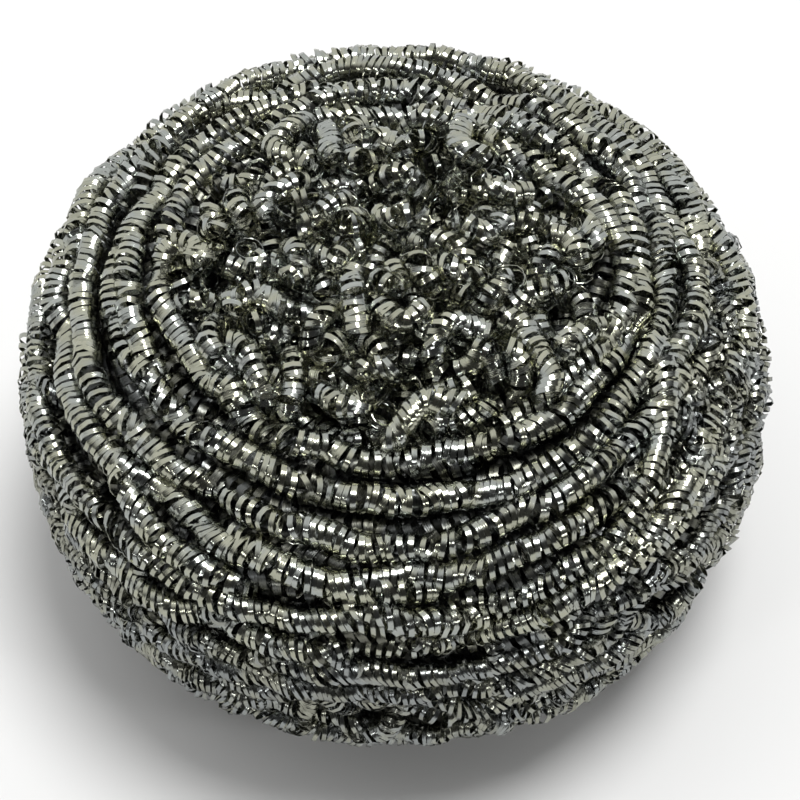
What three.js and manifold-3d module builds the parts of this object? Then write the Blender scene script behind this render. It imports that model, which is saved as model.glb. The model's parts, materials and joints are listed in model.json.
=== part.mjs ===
// A stainless steel scourer: one long, flat steel ribbon, curled into a springy strand, wound turn
// upon turn into a round pad, with the strand's last loops tangled over the crown.
// Millimetres, +Z up. The pad rests on z = 0, and the Z axis is the axis that it is wound round.
// The strand is solid here, at the outer diameter of its curls.
import * as THREE from "three";
import { mergeVertices } from "three/addons/utils/BufferGeometryUtils.js";
import Module from "manifold-3d";

// The pad
const PAD_WIDTH = 90; // across the widest turn
const PAD_HEIGHT = 51; // of the outline that the turns lie on, at the axis
const WAIST_HEIGHT = 25; // of the widest turn's centre
const UPPER_FULLNESS = 2.9; // exponent of the pad's outline above the waist, 2 being an ellipse
const LOWER_FULLNESS = 2.9; // the same below the waist
const BASE_RADIUS = 20; // of the flat spot that the pad rests on

// The strand and its turns
const STRAND_DIAMETER = 3.1;
const TURN_GAP = 1.3; // between neighbouring turns
const GROOVE_DEPTH = 1; // of the gap's floor under the centres of the turns
const TURN_STRAY_WIDTH = 0.5; // most that a turn strays sideways from its line
const TURN_SINK_DEPTH = 1.2; // most that a stretch of a turn is pressed into the pad
const SHOULDER_ANGLE = Math.PI / 3; // from a turn's crest to the edges of its rounded back
const SIDES_ROUND_PAD = 32;

// The tangle on the crown
const CROWN_RADIUS = 23; // of the dip inside the innermost turn
const CROWN_DEPTH = 6.4; // from the top of the pad to the middle of the dip's floor
const RIM_DEPTH = 3.6; // from the top of the pad to the edge of the dip's floor
const LOOP_COUNT = 56;
const LOOP_LENGTH = 12; // from where a loop comes up to where it goes down again
const LOOP_BOW_WIDTH = 2; // how far a loop bends to one side
const LOOP_RISE_HEIGHT = 0.3; // of the lowest loops' centres over the dip's floor
const LOOP_LAYERS = 4;
const LOOP_TURN = 0.9; // most that a loop is turned from the way the turns run, in radians
const LOOP_STEPS = 6;
const STRAND_SIDES = 6;

const GOLDEN_ANGLE = Math.PI * (3 - Math.sqrt(5));
const strandRadius = STRAND_DIAMETER / 2;

// How deep the dip is at a distance from the axis.
function dipDepth(radius) {
  return THREE.MathUtils.lerp(CROWN_DEPTH, RIM_DEPTH, (radius / CROWN_RADIUS) ** 2);
}

// The line through the centres of the turns, in a half-plane that holds the axis: x is the distance
// from the axis and y the height. It runs from the crown over the waist to the flat spot.
class TurnLine extends THREE.Curve {
  constructor() {
    super();
    this.halfWidth = PAD_WIDTH / 2 - strandRadius;
    this.upperRise = PAD_HEIGHT - WAIST_HEIGHT - strandRadius;
    this.lowerDrop = WAIST_HEIGHT - strandRadius;
    this.startAngle = this.angleAt(CROWN_RADIUS + strandRadius, this.upperRise, UPPER_FULLNESS);
    this.endAngle = -this.angleAt(BASE_RADIUS + strandRadius, this.lowerDrop, LOWER_FULLNESS);
  }

  // The angle, seen from the middle of the waist, of the point at a given distance from the axis.
  angleAt(radius, height, fullness) {
    const share = Math.pow(radius / this.halfWidth, fullness);
    return Math.atan2(height * Math.pow(1 - share, 1 / fullness), radius);
  }

  getPoint(t, target = new THREE.Vector2()) {
    const angle = THREE.MathUtils.lerp(this.startAngle, this.endAngle, t);
    const above = angle > 0;
    const fullness = above ? UPPER_FULLNESS : LOWER_FULLNESS;
    const height = above ? this.upperRise : this.lowerDrop;
    const across = Math.pow(Math.abs(Math.cos(angle)) / this.halfWidth, fullness);
    const along = Math.pow(Math.abs(Math.sin(angle)) / height, fullness);
    const reach = Math.pow(across + along, -1 / fullness);
    return target.set(reach * Math.cos(angle), WAIST_HEIGHT + reach * Math.sin(angle));
  }

  // A unit vector pointing out of the pad, square to the line.
  getNormalAt(u) {
    const tangent = this.getTangentAt(u);
    return new THREE.Vector2(-tangent.y, tangent.x);
  }
}

const turnLine = new TurnLine();
const turnSpacing = STRAND_DIAMETER + TURN_GAP;
const turnSteps = Math.max(1, Math.round(turnLine.getLength() / turnSpacing));
const dipTurns = Math.max(1, Math.floor(CROWN_RADIUS / turnSpacing));

// The pad's profile, from the flat spot up to the crown, as points that know which turn they belong
// to and which way it can move. A point that belongs to no turn stays where it is.
function padProfile() {
  const profile = [{ at: new THREE.Vector2(0, PAD_HEIGHT - CROWN_DEPTH) }];
  for (let turn = 1; turn <= dipTurns; turn += 1) {
    const edge = (CROWN_RADIUS * turn) / dipTurns;
    const crest = edge - CROWN_RADIUS / dipTurns / 2;
    profile.push({ at: new THREE.Vector2(crest, PAD_HEIGHT - dipDepth(crest) + strandRadius) });
    profile.push({ at: new THREE.Vector2(edge, PAD_HEIGHT - dipDepth(edge)) });
  }
  for (let turn = 0; turn <= turnSteps; turn += 1) {
    const u = turn / turnSteps;
    const centre = turnLine.getPointAt(u);
    const normal = turnLine.getNormalAt(u);
    const tangent = turnLine.getTangentAt(u);
    for (const angle of [-SHOULDER_ANGLE, 0, SHOULDER_ANGLE]) {
      const at = centre
        .clone()
        .addScaledVector(normal, strandRadius * Math.cos(angle))
        .addScaledVector(tangent, strandRadius * Math.sin(angle));
      profile.push({ at, turn, normal, tangent });
    }
    if (turn < turnSteps) {
      const between = (turn + 0.5) / turnSteps;
      const inward = turnLine.getNormalAt(between).negate();
      profile.push({ at: turnLine.getPointAt(between).addScaledVector(inward, GROOVE_DEPTH) });
    }
  }
  profile.push({ at: new THREE.Vector2(BASE_RADIUS, 0) });
  profile.push({ at: new THREE.Vector2(0, 0) });
  return profile.reverse();
}

// How far a turn has strayed and sunk at an angle round the pad. Each turn has its own slow waves,
// which fade out at the crown and the flat spot.
function turnWave(turn, angle) {
  const fade = Math.sin((Math.PI * turn) / turnSteps);
  const phase = turn * GOLDEN_ANGLE;
  const slow = Math.sin(angle + phase);
  const quick = Math.sin(3 * angle + 2 * phase);
  return {
    stray: (TURN_STRAY_WIDTH * fade * (slow + quick)) / 2,
    sink: (TURN_SINK_DEPTH * fade * (1 + Math.sin(2 * angle - phase))) / 2,
  };
}

// The wound pad: the profile turned round the axis, with each turn laid along its own waves.
function woundPad() {
  const profile = padProfile();
  const geometry = new THREE.LatheGeometry(profile.map((point) => point.at), SIDES_ROUND_PAD);
  const position = geometry.getAttribute("position");
  for (let side = 0; side <= SIDES_ROUND_PAD; side += 1) {
    const angle = (2 * Math.PI * (side % SIDES_ROUND_PAD)) / SIDES_ROUND_PAD;
    profile.forEach((point, row) => {
      const at = point.at.clone();
      if (point.turn !== undefined) {
        const { stray, sink } = turnWave(point.turn, angle);
        at.addScaledVector(point.tangent, stray).addScaledVector(point.normal, -sink);
      }
      const index = side * profile.length + row;
      position.setXYZ(index, at.x * Math.sin(angle), at.y, at.x * Math.cos(angle));
    });
  }
  return geometry.rotateX(Math.PI / 2);
}

// One loop of the strand: it comes up through the dip's floor, bends over and goes down. The layers of
// loops fill the dip from its floor to the top of the pad.
function crownLoop(index) {
  const reach = CROWN_RADIUS * Math.sqrt((index + 0.5) / LOOP_COUNT);
  const place = index * GOLDEN_ANGLE;
  const heading = place + Math.PI / 2 + LOOP_TURN * Math.sin(index * index);
  const layer = (index % LOOP_LAYERS) / (LOOP_LAYERS - 1);
  const rise = LOOP_RISE_HEIGHT + layer * (dipDepth(reach) - strandRadius);
  const floor = PAD_HEIGHT - dipDepth(reach);
  const middle = new THREE.Vector3(reach * Math.cos(place), reach * Math.sin(place), floor);
  const ahead = new THREE.Vector3(Math.cos(heading), Math.sin(heading), 0);
  const aside = new THREE.Vector3(-Math.sin(heading), Math.cos(heading), 0);
  const down = new THREE.Vector3(0, 0, -STRAND_DIAMETER);
  const start = middle.clone().addScaledVector(ahead, -LOOP_LENGTH / 2).add(down);
  const end = middle.clone().addScaledVector(ahead, LOOP_LENGTH / 2).add(down);
  // A quadratic curve passes halfway between its control point and the middle of its ends.
  const control = middle
    .clone()
    .addScaledVector(aside, 2 * LOOP_BOW_WIDTH)
    .add(new THREE.Vector3(0, 0, 2 * rise + STRAND_DIAMETER));
  const section = new THREE.Shape();
  for (let side = 0; side < STRAND_SIDES; side += 1) {
    const angle = (2 * Math.PI * side) / STRAND_SIDES;
    const corner = [strandRadius * Math.cos(angle), strandRadius * Math.sin(angle)];
    if (side === 0) {
      section.moveTo(...corner);
    } else {
      section.lineTo(...corner);
    }
  }
  section.closePath();
  return new THREE.ExtrudeGeometry(section, {
    steps: LOOP_STEPS,
    extrudePath: new THREE.QuadraticBezierCurve3(start, control, end),
  });
}

const wasm = await Module();
wasm.setup();

// A closed geometry as a solid that can be joined to others.
function solidOf(geometry) {
  const bare = new THREE.BufferGeometry();
  bare.setAttribute("position", geometry.getAttribute("position"));
  bare.setIndex(geometry.getIndex());
  const merged = mergeVertices(bare);
  return new wasm.Manifold(
    new wasm.Mesh({
      numProp: 3,
      vertProperties: merged.getAttribute("position").array,
      triVerts: new Uint32Array(merged.getIndex().array),
    }),
  );
}

// A solid as a geometry with its own normals.
function geometryOf(solid) {
  const { vertProperties, triVerts } = solid.getMesh();
  const geometry = new THREE.BufferGeometry();
  geometry.setAttribute("position", new THREE.BufferAttribute(vertProperties, 3));
  geometry.setIndex(new THREE.BufferAttribute(triVerts, 1));
  geometry.computeVertexNormals();
  return geometry;
}

let tangled = solidOf(woundPad());
for (let index = 0; index < LOOP_COUNT; index += 1) {
  tangled = tangled.add(solidOf(crownLoop(index)));
}
// Crossing loops close small hollows between them. Their walls have a negative volume and are left
// out, which fills them.
const walls = tangled.decompose().filter((wall) => wall.volume() > 0);
const pad = wasm.Manifold.compose(walls);

const steel = new THREE.MeshStandardMaterial({ color: 0x9b9885, roughness: 0.3, metalness: 1 });
const scourer = new THREE.Mesh(geometryOf(pad), steel);
scourer.name = "scourer";

const group = new THREE.Group();
group.add(scourer);

export default group;
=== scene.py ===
"""Looks of a stainless steel scourer: a flat steel ribbon, curled into a strand and wound into a pad.

The centre line of the strand is worked out first: turns wound over the pad's outline, more turns
under them, and a tangle that settles into the dip of the crown. A geometry node tree then curls the
ribbon round those lines. Sizes are in metres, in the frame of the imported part.
"""

import json
import logging
import math
from dataclasses import dataclass
from enum import Enum

import bpy
import numpy as np
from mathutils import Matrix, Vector

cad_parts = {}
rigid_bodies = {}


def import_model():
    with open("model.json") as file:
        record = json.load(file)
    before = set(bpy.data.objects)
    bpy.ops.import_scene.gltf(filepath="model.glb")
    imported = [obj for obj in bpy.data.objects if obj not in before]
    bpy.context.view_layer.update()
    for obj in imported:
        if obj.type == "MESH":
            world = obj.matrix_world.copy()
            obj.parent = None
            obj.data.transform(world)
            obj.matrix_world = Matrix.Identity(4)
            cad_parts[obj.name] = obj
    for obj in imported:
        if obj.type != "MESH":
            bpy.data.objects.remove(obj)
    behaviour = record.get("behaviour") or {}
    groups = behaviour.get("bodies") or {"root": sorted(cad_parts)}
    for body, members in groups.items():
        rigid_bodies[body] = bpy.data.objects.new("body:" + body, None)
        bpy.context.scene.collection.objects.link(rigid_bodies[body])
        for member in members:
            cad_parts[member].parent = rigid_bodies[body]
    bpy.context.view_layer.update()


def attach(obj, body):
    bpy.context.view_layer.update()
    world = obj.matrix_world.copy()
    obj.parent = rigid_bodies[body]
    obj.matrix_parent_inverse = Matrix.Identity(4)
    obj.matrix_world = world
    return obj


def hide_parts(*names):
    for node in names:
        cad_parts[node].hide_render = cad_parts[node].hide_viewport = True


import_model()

logging.basicConfig(level=logging.INFO, format="%(message)s")
LOG = logging.getLogger("scourer")

MM = 0.001
TAU = 2.0 * math.pi
GOLDEN_ANGLE = math.pi * (3.0 - math.sqrt(5.0))
TINY = 1e-6  # shortest distance that anything is divided by
RIBBON_SIDES = 4
BODY = "root"
NODE = "scourer"
BAKE_MAP = "OFBake"

Socket = bpy.types.NodeSocket
Feeds = dict[str | int, object]
Pair = tuple[float, float]
Triple = tuple[float, float, float]


class Attr(Enum):
    """Names of the values that the strand's points carry into the tree and the materials."""

    PHASE = "phase"
    REACH = "reach"
    LEAN = "lean"
    LEAN_TURN = "lean_turn"
    TWIST = "twist"
    ACROSS = "across"


def smooth_noise(along: np.ndarray, scale: float, rng: np.random.Generator) -> np.ndarray:
    """Gives smooth noise from -1 to 1 along a line.

    Args:
        along: distances along the line, from 0 up.
        scale: distance between the noise's knots.
        rng: source of the knots' values.

    Returns:
        One value for each distance.
    """
    knots = rng.uniform(-1.0, 1.0, int(along.max() / scale) + 3)
    place = along / scale
    index = place.astype(int)
    share = place - index
    ease = share * share * (3.0 - 2.0 * share)
    return knots[index] * (1.0 - ease) + knots[index + 1] * ease


def lengths_along(points: np.ndarray) -> np.ndarray:
    """Gives the distance of each point along the line through them."""
    steps = np.linalg.norm(np.diff(points, axis=0), axis=1)
    return np.concatenate(([0.0], np.cumsum(steps)))


def add_object(name: str, data: bpy.types.ID) -> bpy.types.Object:
    """Makes an object and puts it in the scene.

    Args:
        name: of the object.
        data: its mesh, light or camera.

    Returns:
        The object.
    """
    made = bpy.data.objects.new(name, data)
    bpy.context.scene.collection.objects.link(made)
    return made


@dataclass(frozen=True)
class Outline:
    """A line in a half-plane that holds the pad's axis, from the crown round to the base.

    Attributes:
        radius: distances of its points from the axis.
        height: heights of its points.
    """

    radius: np.ndarray
    height: np.ndarray

    @property
    def along(self) -> np.ndarray:
        """Distances of the points along the line."""
        return lengths_along(np.column_stack((self.radius, self.height)))

    def at(self, place: np.ndarray) -> tuple[np.ndarray, np.ndarray, np.ndarray, np.ndarray]:
        """Finds points on the line and the direction out of the pad there.

        Args:
            place: distances along the line.

        Returns:
            Radius, height, and the outward direction's radial and upward shares.
        """
        along = self.along
        radius = np.interp(place, along, self.radius)
        height = np.interp(place, along, self.height)
        run = np.interp(place, along, np.gradient(self.radius, along))
        climb = np.interp(place, along, np.gradient(self.height, along))
        size = np.hypot(run, climb)
        return radius, height, -climb / size, run / size

    def place_of(self, radius: float) -> float:
        """Gives the distance along the line at which its upper half has a radius."""
        half = len(self.radius) // 2
        return float(np.interp(radius, self.radius[:half], self.along[:half]))


@dataclass(frozen=True)
class PadForm:
    """The pad's sizes, as the part has them, and the line that its turns follow.

    Attributes:
        width: across the widest turn.
        height: of the outline at the axis.
        waist: height of the widest turn's centre.
        upper_fullness: exponent of the outline above the waist, 2 being an ellipse.
        lower_fullness: the same below the waist.
        base_radius: of the flat spot that the pad rests on.
        crown_radius: of the dip in the crown.
        strand_radius: of the curled strand.
        dish_depth: from the top of the pad to the turns that line the dip.
        eye_radius: of the innermost turn, at the crown and at the base.
        clearance: least height of the centre of a strand on the pad, in strand radii.
        samples: points on the line.
    """

    width: float = 90 * MM
    height: float = 51 * MM
    waist: float = 25 * MM
    upper_fullness: float = 2.9
    lower_fullness: float = 2.9
    base_radius: float = 20 * MM
    crown_radius: float = 23 * MM
    strand_radius: float = 1.55 * MM
    dish_depth: float = 8 * MM
    eye_radius: float = 3.5 * MM
    clearance: float = 1.2
    samples: int = 1200

    def dish_floor(self) -> float:
        """Height of the floor of the dip, at the turns that line it."""
        return self.height - self.dish_depth

    def _side(self) -> tuple[np.ndarray, np.ndarray]:
        """Works out the turns' centres from the crown's rim over the waist to the base.

        Returns:
            Their distances from the axis, and their heights.
        """
        half = self.width / 2 - self.strand_radius
        rise = self.height - self.waist - self.strand_radius
        drop = self.waist - self.strand_radius
        start = self._angle(self.crown_radius + self.strand_radius, half, rise, self.upper_fullness)
        end = -self._angle(self.base_radius + self.strand_radius, half, drop, self.lower_fullness)
        angle = np.linspace(start, end, self.samples)
        above = angle > 0.0
        fullness = np.where(above, self.upper_fullness, self.lower_fullness)
        reach_up = np.where(above, rise, drop)
        across = (np.abs(np.cos(angle)) / half) ** fullness
        upward = (np.abs(np.sin(angle)) / reach_up) ** fullness
        reach = (across + upward) ** (-1.0 / fullness)
        return reach * np.cos(angle), self.waist + reach * np.sin(angle)

    @staticmethod
    def _angle(radius: float, half: float, height: float, fullness: float) -> float:
        """Gives the angle, seen from the middle of the waist, at which the outline has a radius."""
        share = (radius / half) ** fullness
        return math.atan2(height * (1.0 - share) ** (1.0 / fullness), radius)

    def outline(self) -> Outline:
        """Makes the whole line, from the floor of the crown's dip to the middle of the base.

        Returns:
            The line, in even steps.
        """
        radius, height = self._side()
        floor = self.dish_floor()
        dish_edge = self.crown_radius - self.dish_depth / 2
        radius = np.concatenate(([self.eye_radius, dish_edge], radius, [self.base_radius, self.eye_radius]))
        height = np.concatenate(([floor, floor], height, [self.strand_radius, self.strand_radius]))
        line = Outline(radius, height)
        place = np.linspace(0.0, line.along[-1], self.samples)
        return Outline(*line.at(place)[:2])

    def laid(self, angle: np.ndarray, reach: np.ndarray, lift: np.ndarray) -> np.ndarray:
        """Lays a line on the outer turns.

        Args:
            angle: of its points round the axis.
            reach: distances of its points from the axis, along the outline.
            lift: how far its points stand over the turns' centres.

        Returns:
            The line's points.
        """
        line = self.outline()
        dip = self.crown_radius - line.place_of(self.crown_radius)
        radius, height, out, up = line.at(reach - dip)
        radius = radius + lift * out
        height = np.maximum(height + lift * up, self.clearance * self.strand_radius)
        return np.column_stack((radius * np.cos(angle), radius * np.sin(angle), height))


@dataclass(frozen=True)
class Curl:
    """How the ribbon curls round the strand's centre line.

    Attributes:
        radius: of the curl, to the middle of the ribbon.
        pitch: advance of one curl.
        width: of the ribbon.
        thickness: of the ribbon.
        segments: straight pieces that make one curl.
        pitch_spread: share by which the pitch changes along the strand.
        radius_spread: share by which the radius changes.
        lean: how far a curl leans over on average, as a share of its radius.
        lean_sway: how far the way that the curls lean swings round, in radians.
        twist: most that the ribbon is turned about its own length, in radians.
        lump: how far the strand's centre line is knocked about.
        fuss: share of these changes that differ from one curl to the next.
        pitch_run: length of strand in which the pitch changes.
        radius_run: the same for the radius.
        lean_run: the same for the lean.
        sway_run: the same for the way that the curls lean.
        twist_run: the same for the twist.
    """

    radius: float = 1.7 * MM
    pitch: float = 1.05 * MM
    width: float = 0.63 * MM
    thickness: float = 0.06 * MM
    segments: int = 10
    pitch_spread: float = 0.35
    radius_spread: float = 0.14
    lean: float = 0.4
    lean_sway: float = 2.5
    twist: float = 0.45
    lump: float = 0.14 * MM
    fuss: float = 0.4
    pitch_run: float = 7 * MM
    radius_run: float = 5 * MM
    lean_run: float = 6 * MM
    sway_run: float = 9 * MM
    twist_run: float = 5 * MM

    def carried(self, path: np.ndarray, rng: np.random.Generator) -> dict[Attr, np.ndarray]:
        """Works out the values that the points of a centre line carry.

        Args:
            path: the line's points.
            rng: source of the changes along it.

        Returns:
            One value of each kind for each point.
        """
        along = lengths_along(path)
        rough = self.fuss * rng.uniform(-1.0, 1.0, (3, len(path)))
        calm = 1.0 - self.fuss
        pitch = self.pitch * (1.0 + self.pitch_spread * smooth_noise(along, self.pitch_run, rng))
        turns = np.concatenate(([0.0], np.cumsum(np.diff(along) / pitch[1:])))
        spread = calm * smooth_noise(along, self.radius_run, rng) + rough[0]
        start = rng.uniform()
        lean = 1.0 + calm * smooth_noise(along, self.lean_run, rng) + rough[1]
        lean_turn = rng.uniform(0.0, TAU) + self.lean_sway * smooth_noise(along, self.sway_run, rng)
        twist = calm * smooth_noise(along, self.twist_run, rng) + rough[2]
        return {
            Attr.PHASE: TAU * (turns + start),
            Attr.REACH: self.radius * (1.0 + self.radius_spread * spread),
            Attr.LEAN: self.lean * lean,
            Attr.LEAN_TURN: lean_turn,
            Attr.TWIST: self.twist * twist,
        }


class Lay(Enum):
    """The ways that the ribbon curls in different parts of the pad."""

    NEAT = Curl()
    LOOSE = Curl(radius=1.5 * MM, pitch=0.95 * MM, width=0.56 * MM, segments=9, twist=0.6, fuss=0.5)
    JUMBLED = Curl(
        radius=1.3 * MM,
        pitch=0.8 * MM,
        width=0.5 * MM,
        segments=9,
        radius_spread=0.18,
        lean=0.5,
        twist=0.55,
        lump=0.2 * MM,
        fuss=0.5,
    )
    COARSE = Curl(radius=1.5 * MM, pitch=1.5 * MM, width=0.8 * MM, segments=7)
    SPARSE = Curl(radius=1.5 * MM, pitch=1.9 * MM, width=1.0 * MM, segments=7)
    # Wide, nearly closed curls for the deepest turns: with the inner finish they make a dark core, painted
    # shade that shuts off the view into the pad.
    DEEP = Curl(
        radius=2.0 * MM,
        pitch=2.6 * MM,
        width=2.5 * MM,
        thickness=0.3 * MM,
        segments=6,
        lean=0.2,
        twist=0.0,
    )
    CLOSED = Curl(
        radius=1.5 * MM,
        pitch=0.88 * MM,
        width=0.64 * MM,
        segments=12,
        pitch_spread=0.3,
        radius_spread=0.16,
        twist=0.3,
        fuss=0.3,
    )
    PULLED = Curl(radius=1.2 * MM, pitch=3.2 * MM, segments=20, twist=0.8)


class NodeKit:
    """Short ways to add nodes to a tree and to link them."""

    def __init__(self, tree: bpy.types.NodeTree) -> None:
        """Takes the tree that the nodes go into."""
        self.tree = tree

    def feed(self, node: bpy.types.Node, feeds: Feeds) -> None:
        """Links inputs of a node to sockets, or sets them to values.

        Args:
            node: the node.
            feeds: a socket or a value for each input, by name or number.
        """
        for key, value in feeds.items():
            if isinstance(value, Socket):
                self.tree.links.new(value, node.inputs[key])
            else:
                node.inputs[key].default_value = value

    def node(self, kind: str, feeds: Feeds | None = None, **settings: object) -> bpy.types.Node:
        """Adds a node.

        Args:
            kind: its type.
            feeds: a socket or a value for each input that needs one.
            settings: its options, which are set before the inputs.

        Returns:
            The node.
        """
        node = self.tree.nodes.new(kind)
        for name, value in settings.items():
            setattr(node, name, value)
        self.feed(node, feeds or {})
        return node

    def maths(self, operation: str, *values: object) -> Socket:
        """Adds a maths node fed by sockets or numbers, and gives its output."""
        return self.node("ShaderNodeMath", dict(enumerate(values)), operation=operation).outputs[0]

    def vector(self, operation: str, first: Socket, second: Socket) -> Socket:
        """Adds a vector maths node and gives its vector."""
        return self.node("ShaderNodeVectorMath", {0: first, 1: second}, operation=operation).outputs[0]

    def scaled(self, vector: Socket, scale: object) -> Socket:
        """Gives a vector times a number."""
        feeds = {0: vector, "Scale": scale}
        return self.node("ShaderNodeVectorMath", feeds, operation="SCALE").outputs[0]

    def ranged(
        self, value: Socket, source: Pair, target: tuple[object, object] = (0.0, 1.0), ease: str = "LINEAR"
    ) -> Socket:
        """Maps a value from one range to another.

        Args:
            value: the value.
            source: ends of the range that it is read in.
            target: ends of the range that it is put into, as numbers or sockets.
            ease: how it runs between the ends.

        Returns:
            The mapped value.
        """
        names = ("Value", "From Min", "From Max", "To Min", "To Max")
        feeds = dict(zip(names, (value, *source, *target)))
        return self.node("ShaderNodeMapRange", feeds, interpolation_type=ease).outputs["Result"]


class RibbonTree(NodeKit):
    """The geometry node tree that curls a ribbon round the lines of a wire mesh."""

    NAME = "CurledRibbon"
    CURLS_PER_ROW = 12  # of the UV map that the ribbon's faces are laid out on
    MAP_MARGIN = 0.06  # share of a row of that map that stays empty

    def __init__(self) -> None:
        """Builds the tree once."""
        super().__init__(bpy.data.node_groups.new(self.NAME, "GeometryNodeTree"))
        self.ids: dict[str, str] = {}
        self._interface()
        self._build()

    def _interface(self) -> None:
        """Makes the tree's named inputs and its output."""
        face = self.tree.interface
        face.new_socket("Lines", in_out="INPUT", socket_type="NodeSocketGeometry")
        for name in ("Step", "Ribbon Width", "Ribbon Thickness"):
            socket = face.new_socket(name, in_out="INPUT", socket_type="NodeSocketFloat")
            self.ids[name] = socket.identifier
        socket = face.new_socket("Finish", in_out="INPUT", socket_type="NodeSocketMaterial")
        self.ids["Finish"] = socket.identifier
        face.new_socket("Ribbon", in_out="OUTPUT", socket_type="NodeSocketGeometry")

    def _named(self, attr: Attr) -> Socket:
        """Reads one of the points' values."""
        feeds = {"Name": attr.value}
        return self.node("GeometryNodeInputNamedAttribute", feeds, data_type="FLOAT").outputs["Attribute"]

    def _turned(self, first: Socket, second: Socket, angle: Socket) -> Socket:
        """Turns a direction by an angle, towards another that is square to it."""
        start = self.scaled(first, self.maths("COSINE", angle))
        return self.vector("ADD", start, self.scaled(second, self.maths("SINE", angle)))

    def _strand(self, lines: Socket, step: Socket) -> Socket:
        """Makes the wire's lines smooth curves.

        Args:
            lines: the wire.
            step: between the curves' points.

        Returns:
            The curves, with points in even steps.
        """
        curve = self.node("GeometryNodeMeshToCurve", {"Mesh": lines}).outputs["Curve"]
        bent = self.node("GeometryNodeCurveSplineType", {"Curve": curve}, spline_type="CATMULL_ROM")
        feeds = {"Curve": bent.outputs["Curve"], "Length": step}
        return self.node("GeometryNodeResampleCurve", feeds, mode="LENGTH").outputs["Curve"]

    def _curled(self, strand: Socket) -> tuple[Socket, Socket]:
        """Moves a strand's points from its centre line out on to the curls.

        Args:
            strand: its centre line.

        Returns:
            The curled line, and the direction out of the strand at its points.
        """
        phase = self._named(Attr.PHASE)
        ahead = self.node("GeometryNodeInputTangent").outputs[0]
        side = self.node("GeometryNodeInputNormal").outputs["Normal"]
        radial = self._turned(side, self.vector("CROSS_PRODUCT", ahead, side), phase)
        aside = self.maths("COSINE", self.maths("SUBTRACT", phase, self._named(Attr.LEAN_TURN)))
        lean = self.maths("MULTIPLY", aside, self._named(Attr.LEAN))
        offset = self.vector("ADD", radial, self.scaled(ahead, lean))
        keep = self.node("GeometryNodeCaptureAttribute", domain="POINT")
        keep.capture_items.new("VECTOR", "Radial")
        self.feed(keep, {"Geometry": strand, "Radial": radial})
        feeds = {
            "Geometry": keep.outputs["Geometry"],
            "Offset": self.scaled(offset, self._named(Attr.REACH)),
        }
        return self.node("GeometryNodeSetPosition", feeds).outputs["Geometry"], keep.outputs["Radial"]

    def _section(self, width: Socket, thickness: Socket) -> Socket:
        """Makes the ribbon's section, a thin rectangle whose first side faces outwards.

        Args:
            width: of the ribbon.
            thickness: of the ribbon.

        Returns:
            The section, whose points know which edge of the ribbon they belong to.
        """
        half_width = self.maths("MULTIPLY", width, 0.5)
        half_thick = self.maths("MULTIPLY", thickness, 0.5)
        quad = self.node("GeometryNodeCurvePrimitiveQuadrilateral", mode="POINTS")
        corners = ((1.0, -1.0), (1.0, 1.0), (-1.0, 1.0), (-1.0, -1.0))
        for number, (outward, sideways) in enumerate(corners, start=1):
            place = {
                "X": self.maths("MULTIPLY", half_thick, outward),
                "Y": self.maths("MULTIPLY", half_width, sideways),
            }
            corner = self.node("ShaderNodeCombineXYZ", place)
            self.feed(quad, {f"Point {number}": corner.outputs[0]})
        point = self.node("GeometryNodeInputPosition").outputs[0]
        aside = self.node("ShaderNodeSeparateXYZ", {0: point}).outputs["Y"]
        feeds = {
            "Geometry": quad.outputs["Curve"],
            "Name": Attr.ACROSS.value,
            "Value": self.maths("SIGN", aside),
        }
        keep = self.node("GeometryNodeStoreNamedAttribute", feeds, data_type="FLOAT", domain="POINT")
        return keep.outputs["Geometry"]

    def _edged(self, ribbon: Socket) -> Socket:
        """Shades a ribbon smooth along its length, with crisp edges.

        Args:
            ribbon: its mesh, in rings of points that follow each other.

        Returns:
            The shaded mesh.
        """
        ends = self.node("GeometryNodeInputMeshEdgeVertices").outputs
        apart = self.maths("SUBTRACT", ends["Vertex Index 1"], ends["Vertex Index 2"])
        across = self.maths("LESS_THAN", self.maths("ABSOLUTE", apart), RIBBON_SIDES - 0.5)
        feeds = {"Geometry": ribbon, "Shade Smooth": across}
        return self.node("GeometryNodeSetShadeSmooth", feeds, domain="EDGE").outputs["Geometry"]

    def _build(self) -> None:
        """Makes and links the nodes."""
        start = self.node("NodeGroupInput").outputs
        curled, out = self._curled(self._strand(start["Lines"], start["Step"]))
        beside = self.vector("CROSS_PRODUCT", self.node("GeometryNodeInputTangent").outputs[0], out)
        feeds = {"Curve": curled, "Normal": self._turned(out, beside, self._named(Attr.TWIST))}
        faced = self.node("GeometryNodeSetCurveNormal", feeds, mode="FREE").outputs["Curve"]
        section = self._section(start["Ribbon Width"], start["Ribbon Thickness"])
        feeds = {"Curve": faced, "Profile Curve": section, "Fill Caps": True}
        ribbon = self._edged(self.node("GeometryNodeCurveToMesh", feeds).outputs["Mesh"])
        real = self.node("GeometryNodeRealizeInstances", {"Geometry": ribbon}).outputs["Geometry"]
        feeds = {"Geometry": real, "Material": start["Finish"]}
        dressed = self.node("GeometryNodeSetMaterial", feeds).outputs["Geometry"]
        self.node("NodeGroupOutput", {"Ribbon": dressed})

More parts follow.
